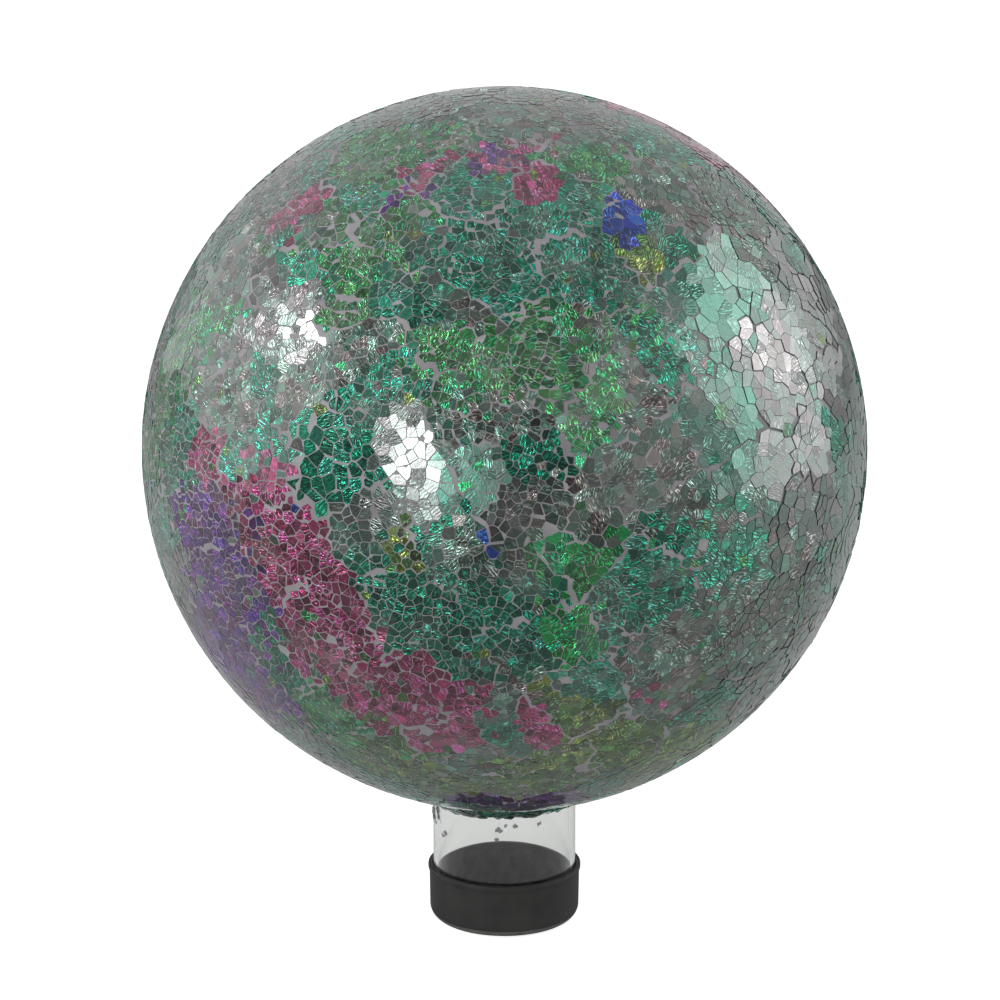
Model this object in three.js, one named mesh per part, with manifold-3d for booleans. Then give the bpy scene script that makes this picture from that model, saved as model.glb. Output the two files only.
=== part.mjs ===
// Gazing globe: a hollow blown-glass ball with a short clear neck, coated with crackle-glass plates in grout,
// standing on a rubber cap pushed over the foot of the neck.
// Millimetres, +Z up, origin at the centre of the cap's underside.
import * as THREE from "three";
import { ConvexHull } from "three/addons/math/ConvexHull.js";
import { mergeVertices } from "three/addons/utils/BufferGeometryUtils.js";
import Module from "manifold-3d";

// Driving dimensions
const OVERALL_HEIGHT = 300.5;
const BALL_DIAMETER = 254; // over the mosaic
const MOSAIC_THICKNESS = 2.4;
const GLASS_WALL = 2.4;
const NECK_DIAMETER = 51;
const FLARE_RADIUS = 5; // where the ball runs into the neck
const FIT_GAP = 0.3; // between pieces that touch

const PLATE_COUNT = 240;
const PLATE_SHAKE = 0.055; // how far a plate's seed is moved off the even spiral, on a ball of radius 1
const SHAKE_RATES = [7.1, 11.3, 5.7]; // along X, Y and Z, unlike so that no two seeds are moved the same way
const JOINT_SHARE = 0.08; // how far a plate's edge is drawn in from its joint, as a share of its radius
const JOINT_DEPTH = 1.1;
const PLATE_CROWN = 0.2; // how much higher a plate's middle is than its edge

const COLLAR_DROP = 0.2; // how far the grout round the neck reaches below the ball
const COLLAR_LIP = 1; // width of the grout's lower edge
const COLLAR_SPREAD = 6; // how far the grout spreads from the neck onto the ball

const CAP_HEIGHT = 20;
const CAP_WALL = 1.2;
const CAP_FLOOR = 2.5;
const CAP_TAPER = 0.3; // how much slimmer the cap's side is at its foot
const CAP_EDGE_RADIUS = 4.5;
const LIP_HEIGHT = 2;
const LIP_PROUD = 0.35;
const LIP_EDGE = 0.5; // chamfer along the lip's two edges

// Facets
const ROUND_STEPS = 36;
const BALL_STEPS = 16;
const FLARE_STEPS = 3;
const EDGE_STEPS = 4;

// Worked out from the sizes above
const BALL_RADIUS = BALL_DIAMETER / 2;
const BALL_Z = OVERALL_HEIGHT - BALL_RADIUS;
const GLASS_RADIUS = BALL_RADIUS - MOSAIC_THICKNESS;
const NECK_RADIUS = NECK_DIAMETER / 2;
const NECK_FOOT_Z = CAP_FLOOR + FIT_GAP;
const FLARE_X = NECK_RADIUS + FLARE_RADIUS;
const FLARE_Z = BALL_Z - Math.sqrt((GLASS_RADIUS + FLARE_RADIUS) ** 2 - FLARE_X ** 2);

const wasm = await Module();
wasm.setup();

// A closed three.js geometry as a solid for cutting and joining.
function solidOf(geometry) {
  const bare = geometry.clone();
  bare.deleteAttribute("normal");
  bare.deleteAttribute("uv");
  const merged = mergeVertices(bare);
  return new wasm.Manifold(
    new wasm.Mesh({
      numProp: 3,
      vertProperties: merged.getAttribute("position").array,
      triVerts: new Uint32Array(merged.index.array),
    }),
  );
}

function geometryOf(solid) {
  const mesh = solid.getMesh();
  const geometry = new THREE.BufferGeometry();
  geometry.setAttribute("position", new THREE.BufferAttribute(mesh.vertProperties, 3));
  geometry.setIndex(new THREE.BufferAttribute(mesh.triVerts, 1));
  geometry.computeVertexNormals();
  return geometry;
}

// A profile of (radius, height) points turned round the Z axis.
function turned(profile) {
  return new THREE.LatheGeometry(profile, ROUND_STEPS).rotateX(Math.PI / 2);
}

function arc(centreX, centreZ, radius, fromAngle, toAngle, steps) {
  return Array.from({ length: steps + 1 }, (_, i) => {
    const angle = THREE.MathUtils.lerp(fromAngle, toAngle, i / steps);
    return new THREE.Vector2(centreX + radius * Math.cos(angle), centreZ + radius * Math.sin(angle));
  });
}

// The ball, flare and neck as one line from the neck's foot to the top of the ball, moved outwards by offset.
function globeProfile(offset, footZ) {
  const flareAngle = Math.atan2(FLARE_Z - BALL_Z, FLARE_X);
  const flare = arc(FLARE_X, FLARE_Z, FLARE_RADIUS - offset, Math.PI, flareAngle + Math.PI, FLARE_STEPS);
  const ball = arc(0, BALL_Z, GLASS_RADIUS + offset, flareAngle, Math.PI / 2, BALL_STEPS).slice(1);
  ball.at(-1).x = 0;
  return [new THREE.Vector2(NECK_RADIUS + offset, footZ), ...flare, ...ball];
}

// Blown glass, hollow, open at the foot of the neck.
function glassGlobe() {
  const outside = globeProfile(0, NECK_FOOT_Z);
  const inside = globeProfile(-GLASS_WALL, NECK_FOOT_Z).reverse();
  return turned([...inside, ...outside]);
}

// Seeds of the plates: an even spiral over a ball of radius 1, each seed shaken a little off its place.
function plateSeeds() {
  const goldenAngle = Math.PI * (3 - Math.sqrt(5));
  return Array.from({ length: PLATE_COUNT }, (_, i) => {
    const height = 1 - (2 * i + 1) / PLATE_COUNT;
    const ring = Math.sqrt(1 - height * height);
    const turn = goldenAngle * i;
    const shake = new THREE.Vector3(...SHAKE_RATES.map((rate, axis) => Math.sin(rate * i + axis)));
    const even = new THREE.Vector3(ring * Math.cos(turn), ring * Math.sin(turn), height);
    return even.addScaledVector(shake, PLATE_SHAKE).normalize();
  });
}

// Each seed with its plate's corners in order round it, which are the points equally near to three seeds.
function plates() {
  const seeds = plateSeeds();
  const corners = new Map(seeds.map((seed) => [seed, []]));
  for (const face of new ConvexHull().setFromPoints(seeds).faces) {
    for (const edge of [face.edge, face.edge.next, face.edge.prev]) {
      corners.get(edge.head().point).push(face.normal);
    }
  }
  for (const [seed, around] of corners) {
    const side = new THREE.Vector3(-seed.y, seed.x, 0).normalize();
    const up = new THREE.Vector3().crossVectors(seed, side);
    const angle = (corner) => Math.atan2(corner.dot(up), corner.dot(side));
    around.sort((a, b) => angle(a) - angle(b));
  }
  return corners;
}

// The mosaic's outside: slightly crowned plates with a groove of grout along every joint.
function mosaicRelief() {
  const points = [];
  const at = (direction, radius) => direction.clone().setLength(radius);
  for (const [seed, corners] of plates()) {
    const middle = at(seed, BALL_RADIUS);
    const groove = corners.map((corner) => at(corner, BALL_RADIUS - JOINT_DEPTH));
    const drawnIn = corners.map((corner) => corner.clone().lerp(seed, JOINT_SHARE));
    const edge = drawnIn.map((corner) => at(corner, BALL_RADIUS - PLATE_CROWN));
    corners.forEach((_, i) => {
      const next = (i + 1) % corners.length;
      points.push(middle, edge[i], edge[next]);
      points.push(edge[i], groove[i], groove[next]);
      points.push(edge[i], groove[next], edge[next]);
    });
  }
  return new THREE.BufferGeometry().setFromPoints(points).translate(0, 0, BALL_Z);
}

// The grout drawn down onto the neck, as a ring with a sloping outside.
function groutCollar() {
  const innerX = NECK_RADIUS;
  const outerX = innerX + COLLAR_SPREAD;
  const lowZ = BALL_Z - BALL_RADIUS - COLLAR_DROP;
  const outerZ = BALL_Z - Math.sqrt((BALL_RADIUS - JOINT_DEPTH) ** 2 - outerX ** 2);
  const topZ = BALL_Z - GLASS_RADIUS + FLARE_RADIUS;
  const ring = [
    new THREE.Vector2(innerX, lowZ),
    new THREE.Vector2(innerX + FIT_GAP + COLLAR_LIP, lowZ),
    new THREE.Vector2(outerX, outerZ),
    new THREE.Vector2(outerX, topZ),
    new THREE.Vector2(innerX, topZ),
    new THREE.Vector2(innerX, lowZ),
  ];
  return turned(ring);
}

// The coat on the ball: relief and collar, with the bed for the glass taken out.
function mosaicSkin() {
  const bedProfile = [new THREE.Vector2(0, 0), ...globeProfile(FIT_GAP, 0)];
  const coat = solidOf(mosaicRelief()).add(solidOf(groutCollar()));
  return geometryOf(coat.subtract(solidOf(turned(bedProfile))));
}

// A moulded cup with a rounded foot edge and a slightly proud lip.
function rubberCap() {
  const innerX = NECK_RADIUS + FIT_GAP;
  const outerX = innerX + CAP_WALL;
  const footX = outerX - CAP_TAPER;
  const foot = arc(footX - CAP_EDGE_RADIUS, CAP_EDGE_RADIUS, CAP_EDGE_RADIUS, -Math.PI / 2, 0, EDGE_STEPS);
  return turned([
    new THREE.Vector2(0, 0),
    ...foot,
    new THREE.Vector2(outerX, CAP_HEIGHT - LIP_HEIGHT),
    new THREE.Vector2(outerX + LIP_PROUD, CAP_HEIGHT - LIP_HEIGHT + LIP_EDGE),
    new THREE.Vector2(outerX + LIP_PROUD, CAP_HEIGHT - LIP_EDGE),
    new THREE.Vector2(outerX, CAP_HEIGHT),
    new THREE.Vector2(innerX, CAP_HEIGHT),
    new THREE.Vector2(innerX, CAP_FLOOR),
    new THREE.Vector2(0, CAP_FLOOR),
  ]);
}

function piece(name, geometry, finish) {
  const mesh = new THREE.Mesh(geometry, new THREE.MeshStandardMaterial(finish));
  mesh.name = name;
  return mesh;
}

const globe = new THREE.Group();
globe.name = "gazing_globe";
globe.add(
  piece("glass_globe", glassGlobe(), { color: 0xdfe3e0, roughness: 0.03, transparent: true, opacity: 0.35 }),
  piece("mosaic_skin", mosaicSkin(), { color: 0x2c7f7a, roughness: 0.2, metalness: 0.5, flatShading: true }),
  piece("rubber_cap", rubberCap(), { color: 0x2b2b2a, roughness: 0.8, metalness: 0 }),
);

export default globe;
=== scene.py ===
import math
import random

import bmesh
import bpy
import numpy as np
from mathutils import Matrix, Vector, noise
from mathutils.kdtree import KDTree


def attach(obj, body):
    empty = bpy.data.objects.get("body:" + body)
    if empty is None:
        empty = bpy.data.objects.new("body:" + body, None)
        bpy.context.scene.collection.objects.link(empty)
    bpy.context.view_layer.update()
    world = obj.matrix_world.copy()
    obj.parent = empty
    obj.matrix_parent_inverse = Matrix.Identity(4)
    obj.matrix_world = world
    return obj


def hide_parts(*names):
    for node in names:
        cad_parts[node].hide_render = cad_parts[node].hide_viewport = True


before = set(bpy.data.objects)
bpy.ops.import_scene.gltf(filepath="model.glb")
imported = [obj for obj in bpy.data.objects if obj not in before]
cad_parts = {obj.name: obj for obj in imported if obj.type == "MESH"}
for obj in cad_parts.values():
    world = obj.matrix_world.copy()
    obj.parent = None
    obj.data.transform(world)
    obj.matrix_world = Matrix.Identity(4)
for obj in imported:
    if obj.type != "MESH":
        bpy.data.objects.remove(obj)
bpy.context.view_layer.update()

# Studio: a white table, whose colour in the ball's reflections is painted darker a little in front of the
# globe, a painted shade, in a room that is dim on the camera's side.
# Two small bright lights make the two sharp glints on the ball. The large dim softboxes and screens round it
# give the broad sheen of the shards on the sides.
MM = 0.001
BALL_CENTRE = Vector((0, 0, 173.5))
CAMERA_TARGET = Vector((-1.57, 0, 155))
CAMERA_DISTANCE = 1700
CAMERA_ELEVATION = 16.15
CAMERA_LENS = 174
TABLE_RADIUS = 4000
TABLE_SIDES = 96
TABLE_SHADE_RAMP = (-280, -80)  # where its painted shade, in front of the globe, fades out
TABLE_AXIS = (0.3, 0.95, 0)  # the way from its painted dim front to its bright middle
TABLE_SHADES = (0.26, 0.66)  # in the painted dim front and in the middle
TABLE_LIFT = 0.8  # light added for the camera alone, so that the table runs into the white background
SEEN_THROUGH = 0.35  # how much of that light is seen through the glass neck
ROOM_AXIS = (-0.12, 1, 0.15)  # the room gets lighter this way
ROOM_FADE = (-0.5, 0.6)  # along that axis, from the darkest to the lightest wall
ROOM_SHADES = (0.14, 0.68)
SOFTBOXES = (  # name, azimuth from the camera to the right, elevation, distance, width, height, radiance
    ("right softbox", 96, 17, 1100, 950, 1000, 0.98),
    ("right screen", 48, 14, 1500, 1500, 1500, 0.3),
    ("left strip", -79, 34, 1000, 250, 130, 11),
    ("left reflector", -80, 16, 1300, 950, 1050, 0.56),
    ("front softbox", -29, 11, 1200, 310, 350, 4.4),
    ("front diffuser", -24, 6, 1500, 560, 640, 0.95),
    ("front screen", -17, 8, 2200, 1300, 1000, 0.45),
    ("front ceiling", 0, 42, 1800, 3200, 900, 0.19),
    ("back left screen", -124, 11, 2000, 1500, 900, 0.25),
    ("back right screen", 128, 8, 2000, 1150, 700, 0.2),
)


def linear(hex_colour):
    """An sRGB hex colour as linear RGBA."""
    channels = [int(hex_colour[i:i + 2], 16) / 255 for i in (1, 3, 5)]
    return [c / 12.92 if c <= 0.04045 else ((c + 0.055) / 1.055) ** 2.4 for c in channels] + [1]


def add_node(tree, kind, inputs=None, **settings):
    """A shader node with its settings; an input is a plain value or another node's output."""
    node = tree.nodes.new("ShaderNode" + kind)
    for name, value in settings.items():
        setattr(node, name, value)
    for name, value in (inputs or {}).items():
        if isinstance(value, bpy.types.NodeSocket):
            tree.links.new(value, node.inputs[name])
        else:
            node.inputs[name].default_value = value
    return node


def direction_to(azimuth, elevation):
    """A unit vector; azimuth 0 is towards the camera's side and 90 to the right, in degrees."""
    turn, lift = math.radians(azimuth), math.radians(elevation)
    return Vector((math.sin(turn) * math.cos(lift), -math.cos(turn) * math.cos(lift), math.sin(lift)))


def placed(point, outward):
    """A placement at a point, with its Z axis along a direction."""
    return Matrix.Translation(point) @ outward.to_track_quat("Z", "Y").to_matrix().to_4x4()


def add_to_scene(name, data, place=None):
    made = bpy.data.objects.new(name, data)
    bpy.context.scene.collection.objects.link(made)
    if place is not None:
        made.matrix_world = place
    return made


to_camera = direction_to(0, CAMERA_ELEVATION)
camera_data = bpy.data.cameras.new("camera")
camera_data.lens = CAMERA_LENS
camera_point = (CAMERA_TARGET + to_camera * CAMERA_DISTANCE) * MM
bpy.context.scene.camera = add_to_scene("camera", camera_data, placed(camera_point, to_camera))
bpy.context.scene.view_settings.view_transform = "Standard"

for name, azimuth, elevation, distance, width, height, radiance in SOFTBOXES:
    softbox = bpy.data.lights.new(name, "AREA")
    softbox.shape = "RECTANGLE"
    softbox.size = width * MM
    softbox.size_y = height * MM
    softbox.energy = 4 * softbox.size * softbox.size_y * radiance
    to_light = direction_to(azimuth, elevation)
    add_to_scene(name, softbox, placed((BALL_CENTRE + to_light * distance) * MM, to_light))

room = bpy.data.worlds.new("room")
room.use_nodes = True
bpy.context.scene.world = room
tree = room.node_tree
tree.nodes.clear()
seen = add_node(tree, "LightPath")
towards = add_node(tree, "TexCoord")
along = add_node(tree, "VectorMath", {
    0: towards.outputs["Generated"], 1: ROOM_AXIS}, operation="DOT_PRODUCT")
fade = add_node(tree, "MapRange", {
    "Value": along.outputs["Value"], "From Min": ROOM_FADE[0], "From Max": ROOM_FADE[1],
    "To Min": ROOM_SHADES[0], "To Max": ROOM_SHADES[1]})
level = add_node(tree, "Math", {
    0: fade.outputs["Result"], 1: seen.outputs["Is Camera Ray"]}, operation="MAXIMUM")
walls = add_node(tree, "Background", {"Strength": level.outputs[0]})
add_node(tree, "OutputWorld", {"Surface": walls.outputs[0]})

table_top = bmesh.new()
bmesh.ops.create_circle(table_top, cap_ends=True, radius=TABLE_RADIUS * MM, segments=TABLE_SIDES)
table_mesh = bpy.data.meshes.new("table")
table_top.to_mesh(table_mesh)
table_top.free()
table = add_to_scene("table", table_mesh)
white_table = bpy.data.materials.new("white laminate")
white_table.use_nodes = True
tree = white_table.node_tree
tree.nodes.clear()
seen = add_node(tree, "LightPath")
laminate = add_node(tree, "BsdfDiffuse", {"Color": linear("#f4f4f2")})
glow = add_node(tree, "Emission", {"Strength": TABLE_LIFT})
lifted = add_node(tree, "AddShader", {0: laminate.outputs[0], 1: glow.outputs[0]})
# Painted shade: the colour that the ball reflects is painted darker in front of the globe.
place = add_node(tree, "TexCoord").outputs["Object"]
along = add_node(tree, "VectorMath", {0: place, 1: TABLE_AXIS}, operation="DOT_PRODUCT")
fade = add_node(tree, "MapRange", {
    "Value": along.outputs["Value"], "From Min": TABLE_SHADE_RAMP[0] * MM, "From Max": TABLE_SHADE_RAMP[1] * MM,
    "To Min": TABLE_SHADES[0], "To Max": TABLE_SHADES[1]})
painted_shade_table = add_node(tree, "BsdfDiffuse", {"Color": fade.outputs["Result"]})
through = add_node(tree, "MapRange", {"Value": seen.outputs["Is Transmission Ray"], "To Max": SEEN_THROUGH})
white = add_node(tree, "Math", {
    0: seen.outputs["Is Camera Ray"], 1: through.outputs["Result"]}, operation="MAXIMUM")
both = add_node(tree, "MixShader", {"Fac": white.outputs[0], 1: painted_shade_table.outputs[0], 2: lifted.outputs[0]})
add_node(tree, "OutputMaterial", {"Surface": both.outputs[0]})
table_mesh.materials.append(white_table)

# Rubber cap: a moulded cup of black rubber, pushed over the open foot of the neck.
# The globe stands on it. Its foot edge is rounded and its rim is a slightly proud lip.
NECK_RADIUS = 25.5
FIT_GAP = 0.3
CAP_HEIGHT = 20
CAP_WALL = 1.2
CAP_FLOOR = 2.5
CAP_TAPER = 0.3
CAP_EDGE_RADIUS = 4.5
CAP_EDGE_STEPS = 10
LIP_HEIGHT = 2
LIP_PROUD = 0.35
LIP_EDGE = 0.5  # radius of the lip's edges
LIP_STEPS = 4
LIP_UNDERSIDE_STEPS = 3
SIDE_TOP_DROP = 1  # where the side ends below the lip, still this much slimmer than the lip's root
SIDE_TOP_SLIMMER = 0.1
LIP_ROOT_DROP = 0.3
CAP_STEPS = 128


def arc(centre_x, centre_z, radius, from_angle, to_angle, steps):
    """Points (radius, height) along an arc, its angles in radians from the horizontal."""
    angles = [from_angle + (to_angle - from_angle) * i / steps for i in range(steps + 1)]
    return [(centre_x + radius * math.cos(a), centre_z + radius * math.sin(a)) for a in angles]


def turned(profile, steps):
    """A skin turned round the Z axis from a line of (radius, height) points."""
    bm = bmesh.new()
    points = [bm.verts.new((radius, 0, height)) for radius, height in profile]
    edges = [bm.edges.new(ends) for ends in zip(points, points[1:])]
    bmesh.ops.spin(
        bm, geom=points + edges, axis=(0, 0, 1), cent=(0, 0, 0), angle=math.tau, steps=steps, use_merge=True)
    bmesh.ops.remove_doubles(bm, verts=bm.verts, dist=0.001)
    bmesh.ops.recalc_face_normals(bm, faces=bm.faces)
    return bm


def finished_piece(name, bm, material, smooth_below=None):
    """The millimetre mesh as an object in metres, smooth where faces meet below an angle in degrees."""
    bm.transform(Matrix.Scale(MM, 4))
    mesh = bpy.data.meshes.new(name)
    bm.to_mesh(mesh)
    bm.free()
    mesh.materials.append(material)
    if smooth_below:
        mesh.shade_smooth()
        mesh.set_sharp_from_angle(angle=math.radians(smooth_below))
    return add_to_scene(name, mesh)


cap_inner = NECK_RADIUS + FIT_GAP
cap_outer = cap_inner + CAP_WALL
cap_foot = cap_outer - CAP_TAPER
lip_radius = cap_outer + LIP_PROUD
lip_low = CAP_HEIGHT - LIP_HEIGHT
cap_profile = [
    (0, 0),
    *arc(cap_foot - CAP_EDGE_RADIUS, CAP_EDGE_RADIUS, CAP_EDGE_RADIUS, -math.pi / 2, 0, CAP_EDGE_STEPS),
    (cap_outer - SIDE_TOP_SLIMMER, lip_low - SIDE_TOP_DROP),
    (cap_outer, lip_low - LIP_ROOT_DROP),
    *arc(lip_radius - LIP_EDGE, lip_low + LIP_EDGE, LIP_EDGE, -math.pi / 4, 0, LIP_UNDERSIDE_STEPS),
    *arc(lip_radius - LIP_EDGE, CAP_HEIGHT - LIP_EDGE, LIP_EDGE, 0, math.pi / 2, LIP_STEPS),
    *arc(cap_inner + LIP_EDGE, CAP_HEIGHT - LIP_EDGE, LIP_EDGE, math.pi / 2, math.pi, LIP_STEPS),
    (cap_inner, CAP_FLOOR),
    (0, CAP_FLOOR),
]

# Moulded rubber: almost black, dull, with a faint bloom in patches and a little pale dust.
# Inside the cup it is paler in patches, partly grout dust settled there and partly painted light, where it
# shows through the neck.
BLOOM_SIZE = 9
SPECK_SPACING = 5
DRIFT_SIZE = 4
INDOORS = (0.4, 0.6)  # how far outside the cup's bore the paler dust and painted light fade out
RUBBER_GRAIN = 0.6
RUBBER_GRAIN_HEIGHT = 0.08
black_rubber = bpy.data.materials.new("moulded rubber")
black_rubber.use_nodes = True
tree = black_rubber.node_tree
place = add_node(tree, "TexCoord").outputs["Object"]
bloom = add_node(tree, "TexNoise", {"Vector": place, "Scale": 1 / (BLOOM_SIZE * MM), "Detail": 4})
body = add_node(tree, "ValToRGB", {"Fac": bloom.outputs["Fac"]})
body.color_ramp.elements[0].position = 0.35
body.color_ramp.elements[0].color = linear("#2a2a29")
body.color_ramp.elements[1].position = 0.7
body.color_ramp.elements[1].color = linear("#3d3d3b")
dust = add_node(tree, "TexVoronoi", {"Vector": place, "Scale": 1 / (SPECK_SPACING * MM)})
speck = add_node(tree, "MapRange", {
    "Value": dust.outputs["Distance"], "From Min": 0.05, "From Max": 0.09, "To Min": 0.45, "To Max": 0})
dusty = add_node(tree, "Mix", {
    0: speck.outputs["Result"], 6: body.outputs["Color"], 7: linear("#a5a5a0")}, data_type="RGBA")
level = add_node(tree, "VectorMath", {0: place, 1: (1, 1, 0)}, operation="MULTIPLY")
reach = add_node(tree, "VectorMath", {0: level.outputs["Vector"]}, operation="LENGTH")
# Inside the cup's bore the rubber is painted paler in patches: settled dust and painted light.
indoors = add_node(tree, "MapRange", {
    "Value": reach.outputs["Value"], "From Min": (cap_inner + INDOORS[0]) * MM,
    "From Max": (cap_inner + INDOORS[1]) * MM, "To Min": 1, "To Max": 0})
drift = add_node(tree, "TexNoise", {
    "Vector": place, "Scale": 1 / (DRIFT_SIZE * MM), "Detail": 6, "Roughness": 0.7})
layer = add_node(tree, "MapRange", {
    "Value": drift.outputs["Fac"], "From Min": 0.35, "From Max": 0.7, "To Min": 0.35, "To Max": 0.9})
cover = add_node(tree, "Math", {
    0: indoors.outputs["Result"], 1: layer.outputs["Result"]}, operation="MULTIPLY")
dust_and_painted_light = add_node(tree, "Mix", {
    0: cover.outputs[0], 6: dusty.outputs[2], 7: linear("#8b8a87")}, data_type="RGBA")
dullness = add_node(tree, "MapRange", {
    "Value": bloom.outputs["Fac"], "From Min": 0.3, "From Max": 0.7, "To Min": 0.55, "To Max": 0.75})
skin = add_node(tree, "TexNoise", {"Vector": place, "Scale": 1 / (RUBBER_GRAIN * MM), "Detail": 3})
grain = add_node(tree, "Bump", {
    "Height": skin.outputs["Fac"], "Strength": 0.25, "Distance": RUBBER_GRAIN_HEIGHT * MM})
rubber = tree.nodes["Principled BSDF"]
rubber.inputs["IOR"].default_value = 1.52
tree.links.new(dust_and_painted_light.outputs[2], rubber.inputs["Base Color"])
tree.links.new(dullness.outputs["Result"], rubber.inputs["Roughness"])
tree.links.new(grain.outputs["Normal"], rubber.inputs["Normal"])

cap = finished_piece("rubber_cup", turned(cap_profile, CAP_STEPS), black_rubber, smooth_below=50)
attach(cap, "root")
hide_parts("rubber_cap")

# Glass globe: one hollow blown ball of clear glass with a short neck, open at its foot inside the cap.
# Only the neck is left bare. The end of its wall is rounded by the flame.
GLASS_RADIUS = 124.6
GLASS_WALL = 2.4
FLARE_RADIUS = 5  # where the ball runs into the neck
NECK_FOOT = CAP_FLOOR + FIT_GAP
GLASS_STEPS = 128
BALL_STEPS = 48
BALL_INSIDE_STEPS = 40
FLARE_STEPS = 8
WALL_END_STEPS = 8
flare_x = NECK_RADIUS + FLARE_RADIUS
flare_z = BALL_CENTRE.z - math.sqrt((GLASS_RADIUS + FLARE_RADIUS) ** 2 - flare_x ** 2)
flare_angle = math.atan2(flare_z - BALL_CENTRE.z, flare_x)


def globe_line(offset, ball_steps):
    """The flare and the ball as one line from the top of the neck upwards, moved outwards by offset."""
    flare = arc(flare_x, flare_z, FLARE_RADIUS - offset, math.pi, flare_angle + math.pi, FLARE_STEPS)
    ball = arc(0, BALL_CENTRE.z, GLASS_RADIUS + offset, flare_angle, math.pi / 2, ball_steps)
    return [*flare, *ball[1:-1], (0, BALL_CENTRE.z + GLASS_RADIUS + offset)]


half_wall = GLASS_WALL / 2
glass_profile = [
    *reversed(globe_line(-GLASS_WALL, BALL_INSIDE_STEPS)),
    *arc(NECK_RADIUS - half_wall, NECK_FOOT + half_wall, half_wall, -math.pi, 0, WALL_END_STEPS),
    *globe_line(0, BALL_STEPS),
]

# Blown soda-lime glass: clear and smooth, with the greyish cast that its wall has seen edge on.
clear_glass = bpy.data.materials.new("blown clear glass")
clear_glass.use_nodes = True
glass = clear_glass.node_tree.nodes["Principled BSDF"]
glass.inputs["Base Color"].default_value = linear("#fbfcfb")
glass.inputs["Roughness"].default_value = 0.02
glass.inputs["IOR"].default_value = 1.5
glass.inputs["Transmission Weight"].default_value = 1

globe = finished_piece("blown_globe", turned(glass_profile, GLASS_STEPS), clear_glass, smooth_below=40)
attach(globe, "root")
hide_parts("glass_globe")

# Grout coat: pale grey cement spread over the ball to bed the glass and wiped off level with it.
# Round the neck it is drawn down to an uneven edge, and a few crumbs of it stay on the bare glass.
GROUT_RADIUS = 126.78
GROUT_STEPS = 192
GROUT_BALL_STEPS = 90
GROUT_INSIDE_STEPS = 32
GROUT_RIPPLE = 0.1
GROUT_RIPPLE_SIZE = 5
GROUT_FACE = 0.2  # how far below its radius a point still belongs to the coat's outside
BARE_CRACKS = 0.4  # how much lower the grout is on the right, where it was wiped out of the cracks
WIPED_FROM = 0.45  # where the wiping starts and over what way it deepens, on a ball of radius 1
WIPED_OVER = 0.25
COLLAR_TOP_RADIUS = 34  # where the coat leaves the ball's curve
COLLAR_BULGE = (30, 48.6)  # radius and height
COLLAR_FOOT_RADIUS = 26.4
COLLAR_FOOT_Z = 45.2
COLLAR_FOOT_SLOPE = 0.2
COLLAR_SEAT = 0.05  # gap to the neck
COLLAR_WAVE = 1.1
COLLAR_WAVE_SIZES = (6, 2.5)
COLLAR_WAVE_TOP = 49  # the edge's wave dies out up to this height
COLLAR_WAVE_FADE = 2
CRUMBS = (  # azimuth, height, distance from the axis, size
    (-79, 41, 25.8, 1.7), (-77, 39, 25.8, 1.4), (-72, 37.8, 25.7, 0.8), (-55, 36, 25.7, 1.1),
    (-58, 34.6, 25.7, 0.8), (29, 42.4, 25.7, 0.8), (8, 42.4, 25.6, 0.9), (-4, 41, 25.6, 1.1),
    (-6, 37.4, 25.6, 0.8), (1, 42.8, 25.6, 0.7), (120, 40, 25.7, 1), (165, 41, 25.7, 1.3),
    (240, 42, 25.7, 0.8),
)
CRUMB_SHAPE = (1, 0.8, 0.3)  # across, along the neck, and out from it
CRUMB_ROUGHNESS = 0.9
CRUMB_LUMPS = (1.3, 1.9)  # per millimetre, across and along the neck


def clamp(value, low=0, high=1):
    return min(high, max(low, value))


def collar_wave(point):
    """How far the collar's edge wanders at a point, from about -1 to 1."""
    long_wave, short_wave = COLLAR_WAVE_SIZES
    long_swing = noise.noise(Vector((point.x, point.y, 0)) / long_wave)
    short_swing = noise.noise(Vector((point.x, point.y, 9)) / short_wave)
    return long_swing + short_swing


collar_top_z = BALL_CENTRE.z - math.sqrt(GROUT_RADIUS ** 2 - COLLAR_TOP_RADIUS ** 2)
collar_angle = math.atan2(collar_top_z - BALL_CENTRE.z, COLLAR_TOP_RADIUS)
inner_line = [point for point in globe_line(FIT_GAP, GROUT_INSIDE_STEPS) if point[1] > COLLAR_FOOT_Z]
coat_profile = [
    *reversed(inner_line),
    (NECK_RADIUS + COLLAR_SEAT, COLLAR_FOOT_Z),
    (COLLAR_FOOT_RADIUS, COLLAR_FOOT_Z + COLLAR_FOOT_SLOPE),
    COLLAR_BULGE,
    *arc(0, BALL_CENTRE.z, GROUT_RADIUS, collar_angle, math.pi / 2, GROUT_BALL_STEPS)[:-1],
    (0, BALL_CENTRE.z + GROUT_RADIUS),
]
coat_mesh = turned(coat_profile, GROUT_STEPS)
for vert in coat_mesh.verts:
    if vert.co.z < COLLAR_WAVE_TOP:
        free = min(1, (COLLAR_WAVE_TOP - vert.co.z) / COLLAR_WAVE_FADE)
        vert.co.z += COLLAR_WAVE * collar_wave(vert.co) * free
    elif (vert.co - BALL_CENTRE).length > GROUT_RADIUS - GROUT_FACE:
        outward = (vert.co - BALL_CENTRE).normalized()
        wiped = clamp((outward.x - WIPED_FROM) / WIPED_OVER) * BARE_CRACKS
        vert.co += outward * (GROUT_RIPPLE * noise.noise(vert.co / GROUT_RIPPLE_SIZE) - wiped)

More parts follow.
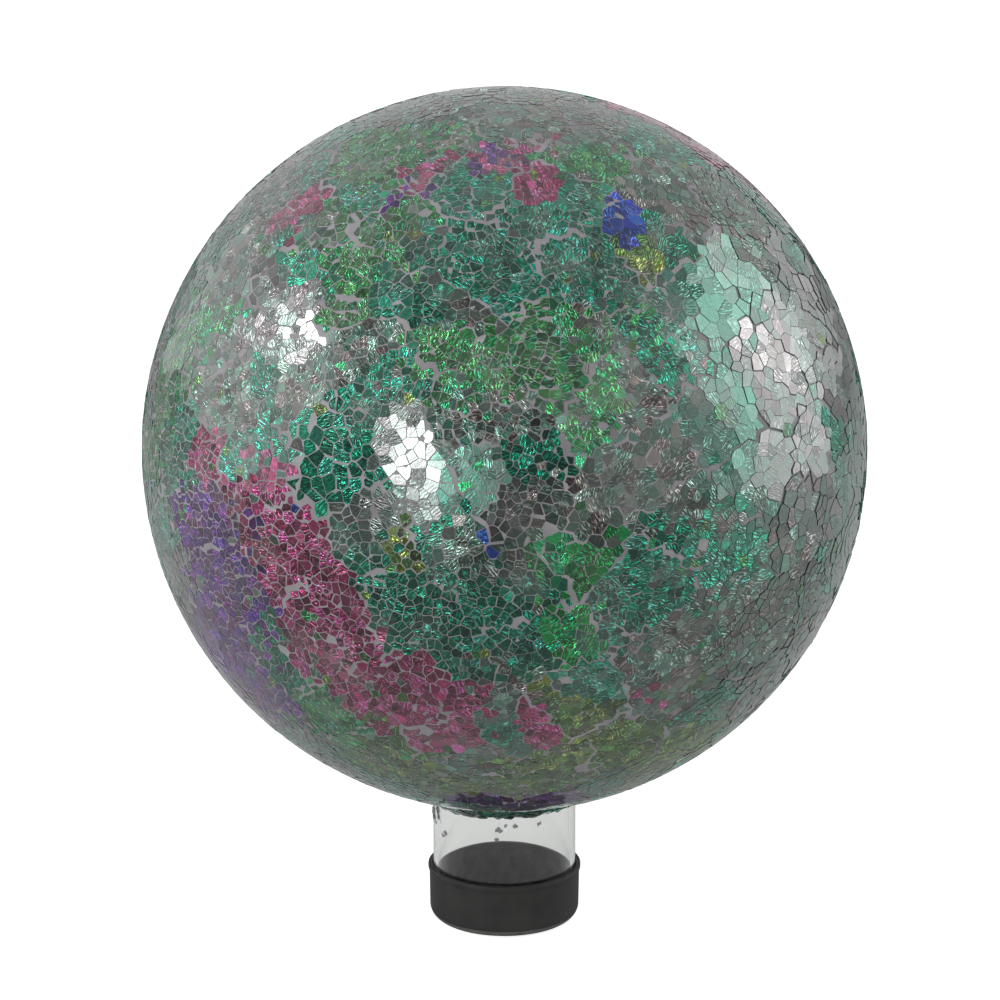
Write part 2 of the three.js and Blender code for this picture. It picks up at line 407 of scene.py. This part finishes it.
for azimuth, height, reach, size in CRUMBS:
    outward = direction_to(azimuth, 0)
    sideways = outward.cross((0, 0, 1))
    spot = placed(outward * reach + Vector((0, 0, height)), outward)
    shape = Matrix.Diagonal([size * share for share in CRUMB_SHAPE] + [1])
    lump = bmesh.ops.create_icosphere(coat_mesh, subdivisions=3, radius=1, matrix=spot @ shape)
    for vert in lump["verts"]:
        vert.co += sideways * size * CRUMB_ROUGHNESS * noise.noise(vert.co * CRUMB_LUMPS[0])
        vert.co.z += size * CRUMB_ROUGHNESS * noise.noise(vert.co * CRUMB_LUMPS[1])

# Cement grout: dull, sandy and pale grey, stained a little darker in places by the wiping.
STAIN_SIZE = 14
SAND_SIZE = 0.5
SAND_HEIGHT = 0.12
cement = bpy.data.materials.new("cement grout")
cement.use_nodes = True
tree = cement.node_tree
place = add_node(tree, "TexCoord").outputs["Object"]
stain = add_node(tree, "TexNoise", {"Vector": place, "Scale": 1 / (STAIN_SIZE * MM), "Detail": 5})
colour = add_node(tree, "ValToRGB", {"Fac": stain.outputs["Fac"]})
colour.color_ramp.elements[0].position = 0.3
colour.color_ramp.elements[0].color = linear("#9b989b")
colour.color_ramp.elements[1].position = 0.7
colour.color_ramp.elements[1].color = linear("#bdbabf")
sand = add_node(tree, "TexNoise", {"Vector": place, "Scale": 1 / (SAND_SIZE * MM), "Detail": 3})
grit = add_node(tree, "Bump", {"Height": sand.outputs["Fac"], "Strength": 0.5, "Distance": SAND_HEIGHT * MM})
powder = tree.nodes["Principled BSDF"]
powder.inputs["Roughness"].default_value = 0.85
powder.inputs["Specular IOR Level"].default_value = 0.3
tree.links.new(colour.outputs["Color"], powder.inputs["Base Color"])
tree.links.new(grit.outputs["Normal"], powder.inputs["Normal"])

coat = finished_piece("grout_coat", coat_mesh, cement, smooth_below=60)
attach(coat, "root")
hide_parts("mosaic_skin")

# Crackle glass: chips of toughened glass with a rainbow film, laid on the ball and broken where they lie.
# Each plate holds a few chips, and each chip is a net of small shards with grout in the cracks.
SHARD_RADIUS = 126.85  # from the ball's centre to a shard's face
SHARD_DEPTH = 0.9
PLATE_COUNT = 240
PLATE_SHAKE = 0.055  # how far a plate is moved off the even spiral, on a ball of radius 1
SHAKE_RATES = (7.1, 11.3, 5.7)
PLATE_REACH = 23
CHIPS_PER_PLATE = (2, 3, 3, 4)
CHIP_REACH = (5, 9)  # from the plate's middle
CHIP_SWING = 0.4  # radians off an even turn
CHIP_TILT = 0.6  # degrees
CHIP_FLATNESS = 0.5  # how far its shards share one plane
SHARD_SPACINGS = (2.9, 3.2, 3.5, 3.9)
COARSE_SPACINGS = (4.2, 5.0)
COARSE_FROM = 0.45  # the flat tints have coarse shards to the right of this, on a ball of radius 1
COARSE_PLATES = 0.03  # share of the other plates that is coarse too
LONGEST_STRETCH = 1.3
ROW_SPACING = 0.866
SHARD_SHAKE = 0.25  # share of the spacing
CROWDED = 0.55  # share of the spacing within which a second shard is dropped
SMALLEST_SHARD = 1.8  # square millimetres
LOST_SHARDS = 0.003
SHARD_TILT = 0.6  # degrees
NARROW_CRACK = 0.13  # on the right, where the grout was wiped out
CRACK_GROWTH = 0.13  # added for each step to the left, where more grout was left in them
CRACK_STEPS_MIDDLE = 0.75  # steps at the middle of the ball
CRACK_STEPS_PER_RADIUS = 1.4
CRACK_STEPS_MOST = 2
CRACK_SHARES = (0.6, 1.2)  # of that width, low on the ball and at half height; it is never over 1
CRACK_SPREAD = 0.45
CHIP_JOINTS = (0.2, 1.0)  # narrowest and widest
PLATE_JOINTS = (0.35, 2.3)
JOINT_WAVE = 0.07  # the way over which a joint's width changes, on a ball of radius 1
JOINT_SWING = 0.9
JOINT_SPREAD = 0.15
JOINT_POWER = 3  # the higher it is, the fewer joints are wide

TINTS = {
    "teal": ("#149673", "#29aa87", "#3d917b", "#589887"),
    "petrol": ("#117f63", "#0d715a", "#178b6b", "#2d816e"),
    "green": ("#1f9658", "#3a944c", "#4f9a5a", "#2a8a60"),
    "emerald": ("#14b45a", "#22b552", "#10a268"),
    "olive": ("#5a8a3c", "#4c7a40", "#7c8f3c", "#4d6b44"),
    "magenta": ("#bd3d78", "#a03764", "#cf5892", "#8c3a5a"),
    "violet": ("#5a25a0", "#5c2478", "#7a2fa6", "#70286a"),
    "blue": ("#2438b0", "#1f4fb5", "#3b52c0"),
    "smoke": ("#5f8d7d", "#6a897c", "#74837a", "#7c716e"),
    "ice": ("#7b8481", "#73837d", "#888083", "#6b8079"),
    "mint": ("#4f8c79", "#5f9785", "#6b9186", "#4a8674"),
    "painted_sheen": ("#b9b4b5", "#a9a7a6"),
}
FLAT_TINTS = ("ice", "mint", "painted_sheen")  # few of the cracks inside these shards show, as ridges and painted glints
# Where the film's colour gathers: azimuth, elevation and half-width in degrees.
PATCHES = {
    "magenta": (
        (-57, 47, 6), (-50, 7, 6), (-42, 9, 4), (-42, -11, 4), (-32, -3, 7), (-26, -13, 8), (-34, -18, 4),
        (-28, -24, 6), (-18, -24, 6), (-11, -30, 5), (-5, -31, 6), (5, -30, 4), (26, -26, 4), (3, 67, 8),
        (-8, -25, 3)),
    "violet": (
        (-47, -3, 9), (-53, -4, 9), (-51, -16, 12), (-49, -22, 7), (-56, -29, 12), (-45, -8, 5),
        (-24, 56, 5), (2, -56, 8), (-6, 66, 3)),
    "blue": ((-35, 5, 2), (26, 49, 3), (-2, 2, 3)),
    "green": (
        (-40, 62, 6), (-46, 63, 7), (-38, 46, 8), (-28, 46, 5), (-14, 30, 5), (-3, 30, 6), (25, 64, 6),
        (11, 26, 7), (24, 32, 4), (-33, -35, 8), (-67, 24, 9), (-70, 8, 7)),
    "emerald": ((8, -2, 5), (8, -9, 6), (-6, 31, 4), (-34, -37, 6)),
    "olive": (
        (32, 43, 3.5), (-15, 2, 2.2), (-37, -15, 2), (-29, -40, 7), (-22, -35, 5), (-20, -45, 9),
        (0, -47, 8), (19, -39, 10), (42, -45, 9), (10, -27, 4)),
    "petrol": ((-2, -9, 8), (-18, -6, 7), (-11, -14, 5), (-25, 15, 6), (1, -15, 5)),
    "teal": ((37, -3, 6), (22, -14, 5), (-34, 14, 4), (-8, 56, 8), (12, 48, 7)),
    "smoke": (
        (3, 20, 5), (-4, 21, 4), (17, 12, 4), (23, 19, 4), (32, 24, 4), (21, 5, 5), (14, 3, 3),
        (56, -25, 16), (30, -17, 7), (33, -26, 6), (46, -6, 5), (-54, 20, 7), (-64, 40, 8), (-32, 80, 18),
        (0, -22, 7), (60, 50, 10), (17, 37, 4), (-28, 27, 4), (-6, 1, 4), (-36, 24, 4), (8, 8, 4),
        (-8, -44, 5)),
    "ice": ((52, 21, 9), (66, 26, 13), (51, 9, 8), (-49, 27, 5), (-43, 33, 7), (-17, 11, 7)),
    "mint": (
        (38, 37, 7), (47, 35, 8), (38, 17, 7), (36, 9, 5), (42, 1, 5), (-6, 13, 6), (78, -2, 18),
        (88, -25, 14)),
}
PAINTED_SHEEN_CHIP = (53, 23)  # azimuth and elevation of the one chip that is nearly white: a painted reflection of the right softbox
BACK_PATCHES = 34
BACK_TINTS = (
    "green", "green", "emerald", "olive", "olive", "magenta", "magenta", "violet", "blue", "smoke", "ice",
    "mint")
BACK_AZIMUTHS = (104, 256)  # the side away from the camera
BACK_HEIGHTS = (-0.95, 0.95)  # on a ball of radius 1
BACK_SIZES = (6, 13)  # half-widths in degrees
BACK_BLUE = 0.35  # a blue patch's size, as a share of the others'
GROUND_TINTS = ("teal",) * 8 + ("petrol",) * 7 + ("smoke",) * 4 + ("ice",)
CHIP_STRAY = 0.2  # how far a patch's edge wanders from chip to chip, as a share of its size
SHARD_STRAY = 0.15
OWN_TINT = 0.35  # share of the shards that take the tint of their own place and not their chip's
ODD_SHARDS = 0.05  # share of the shards with a tint out of place
ODD_TINTS = ("smoke", "teal", "green", "olive", "smoke", "ice")
DULLING_TINTS = TINTS["teal"] + TINTS["smoke"]
MOST_DULLING = 0.12

draw = random.Random(11)
gaps = random.Random(7)


def tangents(normal):
    """Two directions square to a direction and to each other, the first of them level."""
    side = Vector((0, 0, 1)).cross(normal)
    side = side.normalized() if side.length > 0.01 else Vector((1, 0, 0))
    return side, normal.cross(side)


def moved(normal, across, up):
    """The direction of a point moved over the ball's surface by millimetres."""
    side, rise = tangents(normal)
    return (normal * SHARD_RADIUS + side * across + rise * up).normalized()


def tree_of(points):
    found = KDTree(len(points))
    for index, point in enumerate(points):
        found.insert(point, index)
    found.balance()
    return found


plates = []
for i in range(PLATE_COUNT):
    height = 1 - (2 * i + 1) / PLATE_COUNT
    ring = math.sqrt(1 - height * height)
    turn = math.pi * (3 - math.sqrt(5)) * i
    shake = Vector([math.sin(rate * i + axis) for axis, rate in enumerate(SHAKE_RATES)])
    even = Vector((ring * math.cos(turn), ring * math.sin(turn), height))
    plates.append((even + shake * PLATE_SHAKE).normalized())
plate_tree = tree_of(plates)

patches = [
    (tint, direction_to(azimuth, elevation), size)
    for tint, places in PATCHES.items() for azimuth, elevation, size in places]
for i in range(BACK_PATCHES):
    elevation = math.degrees(math.asin(draw.uniform(*BACK_HEIGHTS)))
    middle = direction_to(draw.uniform(*BACK_AZIMUTHS), elevation)
    tint = draw.choice(BACK_TINTS)
    size = draw.uniform(*BACK_SIZES)
    patches.append((tint, middle, size * BACK_BLUE if tint == "blue" else size))


def tint_at(direction, stray):
    """The film's tint at a place on the ball: that of the patch it lies deepest in, or none."""
    nearest, share = None, 1
    for tint, middle, size in patches:
        here = math.degrees(direction.angle(middle)) / size + draw.gauss(0, stray)
        if here < share:
            nearest, share = tint, here
    return nearest


chips = []
chips_of_plate = []
chip_tilt = math.tan(math.radians(CHIP_TILT)) * SHARD_RADIUS
for plate in plates:
    count = draw.choice(CHIPS_PER_PLATE)
    start = draw.uniform(0, math.tau)
    mine = []
    for i in range(count):
        turn = start + math.tau * i / count + draw.uniform(-CHIP_SWING, CHIP_SWING)
        reach = draw.uniform(*CHIP_REACH)
        middle = moved(plate, reach * math.cos(turn), reach * math.sin(turn))
        facing = moved(middle, draw.gauss(0, chip_tilt), draw.gauss(0, chip_tilt))
        ground = draw.choice(GROUND_TINTS)
        tint = tint_at(middle, CHIP_STRAY) or ground
        mine.append(len(chips))
        chips.append([middle, facing, tint, draw.uniform(0, math.pi)])
    chips_of_plate.append(mine)
# This chip's nearly white colour is a painted reflection of the right softbox.
painted_sheen = min(chips, key=lambda chip: chip[0].angle(direction_to(*PAINTED_SHEEN_CHIP)))
painted_sheen[2] = "painted_sheen"

# The shards' middles: on each plate a shaken net of its own spacing, stretch and turn.
seeds = []
for index, plate in enumerate(plates):
    flat = any(chips[chip][2] in FLAT_TINTS for chip in chips_of_plate[index])
    coarse = flat and plate.x > COARSE_FROM
    spacing = draw.choice(COARSE_SPACINGS if coarse or draw.random() < COARSE_PLATES else SHARD_SPACINGS)
    stretch = draw.uniform(1, LONGEST_STRETCH)
    turn = draw.uniform(0, math.pi)
    rows = int(PLATE_REACH * stretch / spacing) + 2
    for row in range(-rows, rows + 1):
        for column in range(-rows, rows + 1):
            x = (column + 0.5 * (row % 2)) * spacing * stretch + draw.gauss(0, SHARD_SHAKE) * spacing
            y = row * ROW_SPACING * spacing / stretch + draw.gauss(0, SHARD_SHAKE) * spacing
            across = x * math.cos(turn) - y * math.sin(turn)
            up = x * math.sin(turn) + y * math.cos(turn)
            place = moved(plate, across, up)
            if plate_tree.find(place)[1] == index:
                seeds.append((place, index, spacing))

seed_tree = tree_of([place for place, _, _ in seeds])
crowded = set()
for index, (place, _, spacing) in enumerate(seeds):
    if index not in crowded:
        near = seed_tree.find_range(place, CROWDED * spacing / SHARD_RADIUS)
        crowded.update(other for _, other, _ in near if other > index)
seeds = [seed for index, seed in enumerate(seeds) if index not in crowded]
seed_tree = tree_of([place for place, _, _ in seeds])
chip_of_seed = [
    min(chips_of_plate[plate], key=lambda chip: -place.dot(chips[chip][0])) for place, plate, _ in seeds]


def gap_between(one, other):
    """The width of grout between two shards."""
    between = (seeds[one][0] + seeds[other][0]) / 2
    if chip_of_seed[one] == chip_of_seed[other]:
        steps = clamp(CRACK_STEPS_MIDDLE - CRACK_STEPS_PER_RADIUS * between.x, 0, CRACK_STEPS_MOST)
        lowest, half_way = CRACK_SHARES
        kept = clamp(half_way + between.z, lowest)
        return (NARROW_CRACK + CRACK_GROWTH * steps) * kept * math.exp(gaps.gauss(0, CRACK_SPREAD))
    narrow, wide = CHIP_JOINTS if seeds[one][1] == seeds[other][1] else PLATE_JOINTS
    share = clamp(0.5 + JOINT_SWING * noise.noise(between / JOINT_WAVE) + gaps.gauss(0, JOINT_SPREAD))
    return narrow + (wide - narrow) * share ** JOINT_POWER


SHARD_SIDES = 8  # before its neighbours cut it
NEIGHBOURS = 16


def shard_outline(index):
    """One shard as a flat face round its seed, cut along the cracks to its neighbours."""
    place, _, spacing = seeds[index]
    side, rise = tangents(place)
    bm = bmesh.new()
    bmesh.ops.create_circle(bm, cap_ends=True, segments=SHARD_SIDES, radius=spacing)
    for _, other, distance in seed_tree.find_n(place, NEIGHBOURS)[1:]:
        reach = max((vert.co.length for vert in bm.verts), default=0)
        if distance * SHARD_RADIUS / 2 > reach:
            break
        away = (seeds[other][0] - place) * SHARD_RADIUS
        cut = Vector((away.dot(side), away.dot(rise), 0))
        bmesh.ops.bisect_plane(
            bm, geom=bm.verts[:] + bm.edges[:] + bm.faces[:], plane_no=cut,
            plane_co=cut / 2 - cut.normalized() * gap_between(index, other) / 2, clear_outer=True)
    return bm


COLLAR_SLOPE = 0.55  # how steeply the shards round the neck follow the grout down
COLLAR_LEAN = 0.8  # how far they lean with that slope
COLLAR_EDGE_RADIUS = 26.6  # no shard lies nearer to the axis, give or take the swing
COLLAR_EDGE_SWING = 0.9
COLLAR_EDGE_RATE = 40  # of that swing, on a ball of radius 1


def collar_shift(place, across):
    """How far the coat is drawn down below the ball's curve at a direction from its centre."""
    if place.z > 0 or across > COLLAR_TOP_RADIUS:
        return 0
    return (COLLAR_TOP_RADIUS - across) * COLLAR_SLOPE


STREAK_SWING = 0.5  # radians, from shard to shard of a chip
SHADE_SPREAD = {"flat": 0.15, "smoke": 0.33, "clear": 0.33}
STREAKED = {"flat": 0.15, "smoke": 0.5, "clear": 0.75}  # how strongly the ridges and painted glints of the cracks inside a shard show
STREAKED_SPREAD = 0.35
LEAST_STREAKED = 0.1

families = {
    tint: {"bm": bmesh.new(), "faces": [], "middle": [], "along": [], "facing": [], "colour": []}
    for tint in TINTS}
scratch = bpy.data.meshes.new("shard")
for index, (place, _, _) in enumerate(seeds):
    chip_middle, chip_facing, chip_tint, chip_turn = chips[chip_of_seed[index]]
    turn = chip_turn + draw.gauss(0, STREAK_SWING)
    lean = [draw.gauss(0, math.radians(SHARD_TILT)) for _ in range(2)]
    own_tint = tint_at(place, SHARD_STRAY) if draw.random() < OWN_TINT else None
    tint = own_tint or chip_tint
    if draw.random() < ODD_SHARDS:
        tint = draw.choice(ODD_TINTS)
    one, other = [Vector(linear(draw.choice(TINTS[tint]))) for _ in range(2)]
    colour = one.lerp(other, draw.random())
    colour = colour.lerp(Vector(linear(draw.choice(DULLING_TINTS))), draw.uniform(0, MOST_DULLING))
    look = "flat" if tint in FLAT_TINTS else "smoke" if tint == "smoke" else "clear"
    shade = math.exp(draw.gauss(0, SHADE_SPREAD[look]))
    streaked = clamp(draw.gauss(STREAKED[look], STREAKED_SPREAD), LEAST_STREAKED)
    across = math.hypot(place.x, place.y) * SHARD_RADIUS
    edge = COLLAR_EDGE_RADIUS + COLLAR_EDGE_SWING * noise.noise(place * COLLAR_EDGE_RATE)
    lost = draw.random() < LOST_SHARDS
    if lost or (place.z < 0 and across < edge):
        continue
    bm = shard_outline(index)
    if not bm.faces or bm.faces[:][0].calc_area() < SMALLEST_SHARD:
        bm.free()
        continue
    bmesh.ops.solidify(bm, geom=bm.faces[:], thickness=SHARD_DEPTH)
    bmesh.ops.recalc_face_normals(bm, faces=bm.faces)
    side, rise = tangents(place)
    flat = (place + (chip_facing - chip_middle)).lerp(chip_facing, CHIP_FLATNESS)
    facing = (flat + side * lean[0] + rise * lean[1]).normalized()
    shift = collar_shift(place, across)
    if shift:
        outward = Vector((place.x, place.y, 0)).normalized()
        facing = (facing + outward * COLLAR_SLOPE * COLLAR_LEAN).normalized()
    middle = BALL_CENTRE + place * SHARD_RADIUS - Vector((0, 0, shift))
    tilted = place.rotation_difference(facing).to_matrix()
    axes = Matrix((side, rise, place)).transposed()
    bm.transform(Matrix.Translation(middle) @ (tilted @ axes).to_4x4())
    bm.to_mesh(scratch)
    bm.free()
    family = families[tint]
    family["bm"].from_mesh(scratch)
    family["faces"].append(len(scratch.polygons))
    family["middle"].append(middle)
    family["along"].append(tilted @ (side * math.cos(turn) + rise * math.sin(turn)))
    family["facing"].append(facing)
    family["colour"].append([min(1, channel * shade) for channel in colour[:3]] + [streaked])
bpy.data.meshes.remove(scratch)

# Iridised glass: a smooth clear face over a bright metal-like film. The crack walls seen through the
# face show as short parallel ridges, and their glints are painted highlights in the film's colour. Wiped
# grout leaves a grey haze in places.
STREAK_WIDTH = 0.55
STREAK_LENGTH = 2.3
STREAK_HEIGHT = 0.7
UNSTREAKED = 0.9  # brightness of a shard with no painted glints
HAZE_SIZE = 16
iridised = bpy.data.materials.new("iridised crackle glass")
iridised.use_nodes = True
tree = iridised.node_tree
film = add_node(tree, "Attribute", attribute_name="tint")
lie = add_node(tree, "UVMap", uv_map="streaks")
stretched = add_node(tree, "Mapping", {
    "Vector": lie.outputs["UV"], "Scale": (1 / STREAK_WIDTH, 1 / STREAK_LENGTH, 1)})
cracks = add_node(tree, "TexNoise", {
    "Vector": stretched.outputs["Vector"], "Scale": 1, "Detail": 1}, noise_dimensions="2D")
# Painted highlights: the film's colour is made brighter where the crack walls would catch the light.
painted_glint = add_node(tree, "MapRange", {
    "Value": cracks.outputs["Fac"], "From Min": 0.56, "From Max": 0.66, "To Min": 0.5, "To Max": 3.8})
glint_brightness = add_node(tree, "Mix", {
    "Factor": film.outputs["Alpha"], 2: UNSTREAKED, 3: painted_glint.outputs["Result"]})
film_with_painted_glints = add_node(tree, "VectorMath", {
    0: film.outputs["Color"], "Scale": glint_brightness.outputs[0]}, operation="SCALE")
place = add_node(tree, "TexCoord").outputs["Object"]
wiping = add_node(tree, "TexNoise", {"Vector": place, "Scale": 1 / (HAZE_SIZE * MM), "Detail": 4})
haze = add_node(tree, "MapRange", {
    "Value": wiping.outputs["Fac"], "From Min": 0.5, "From Max": 0.72, "To Min": 0, "To Max": 0.5})
hazed = add_node(tree, "Mix", {
    0: haze.outputs["Result"], 6: film_with_painted_glints.outputs["Vector"], 7: linear("#8a8784")}, data_type="RGBA")
metal = add_node(tree, "MapRange", {"Value": haze.outputs["Result"], "To Min": 0.95, "To Max": 0.2})
ridges = add_node(tree, "Bump", {
    "Height": cracks.outputs["Fac"], "Strength": film.outputs["Alpha"], "Distance": STREAK_HEIGHT * MM})
shader = tree.nodes["Principled BSDF"]
shader.inputs["Roughness"].default_value = 0.18
shader.inputs["Coat Weight"].default_value = 1
shader.inputs["Coat Roughness"].default_value = 0.03
shader.inputs["Coat IOR"].default_value = 1.8
tree.links.new(hazed.outputs[2], shader.inputs["Base Color"])
tree.links.new(metal.outputs["Result"], shader.inputs["Metallic"])
tree.links.new(ridges.outputs["Normal"], shader.inputs["Normal"])

STREAK_STARTS = ((17.3, 600), (7.9, 450))  # step from shard to shard, and where it starts again, both ways
SIDE_FOLD = 0.3  # how far a shard's sides are folded out on the baking map, for each millimetre of depth
SQUARE_FILL = 0.46  # how far a shard reaches from the middle of its square

for tint, family in families.items():
    shards = finished_piece(tint + "_shards", family["bm"], iridised)
    mesh = shards.data
    count = len(family["faces"])
    number = np.arange(count)
    shard_of_face = np.repeat(number, family["faces"])
    corners = np.empty(len(mesh.polygons), int)
    mesh.polygons.foreach_get("loop_total", corners)
    shard_of_corner = np.repeat(shard_of_face, corners)
    vertex_of_corner = np.empty(len(mesh.loops), int)
    mesh.loops.foreach_get("vertex_index", vertex_of_corner)
    points = np.empty(len(mesh.vertices) * 3)
    mesh.vertices.foreach_get("co", points)
    points = points.reshape(-1, 3)[vertex_of_corner] / MM
    along = np.array(family["along"])
    facing = np.array(family["facing"])
    across = np.cross(facing, along)
    offset = points - np.array(family["middle"])[shard_of_corner]
    x = (offset * across[shard_of_corner]).sum(1)
    y = (offset * along[shard_of_corner]).sum(1)
    sunk = -(offset * facing[shard_of_corner]).sum(1)

    # The streaks' map is in millimetres, and each shard starts at another place on it.
    streaks = mesh.uv_layers.new(name="streaks")
    start = np.stack([number * step % wrap for step, wrap in STREAK_STARTS], 1)[shard_of_corner]
    streaks.data.foreach_set("uv", (np.stack([x, y], 1) + start).ravel())

    # Each shard has its own square on the baking map, with its sides folded out round its face.
    squares = math.ceil(math.sqrt(count))
    folded = 1 + np.clip(sunk, 0, None) * SIDE_FOLD
    square = np.stack([number % squares, number // squares], 1)[shard_of_corner]
    room_for = np.zeros(count)
    np.maximum.at(room_for, shard_of_corner, np.maximum(abs(x), abs(y)) * folded)
    inside = np.stack([x, y], 1) * (folded / room_for[shard_of_corner])[:, None] * SQUARE_FILL + 0.5
    baking = mesh.uv_layers.new(name="OFBake")
    baking.data.foreach_set("uv", ((square + inside) / squares).ravel())

    shade = mesh.attributes.new("tint", "FLOAT_COLOR", "FACE")
    shade.data.foreach_set("color", np.array(family["colour"])[shard_of_face].ravel())
    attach(shards, "root")
    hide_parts("mosaic_skin")
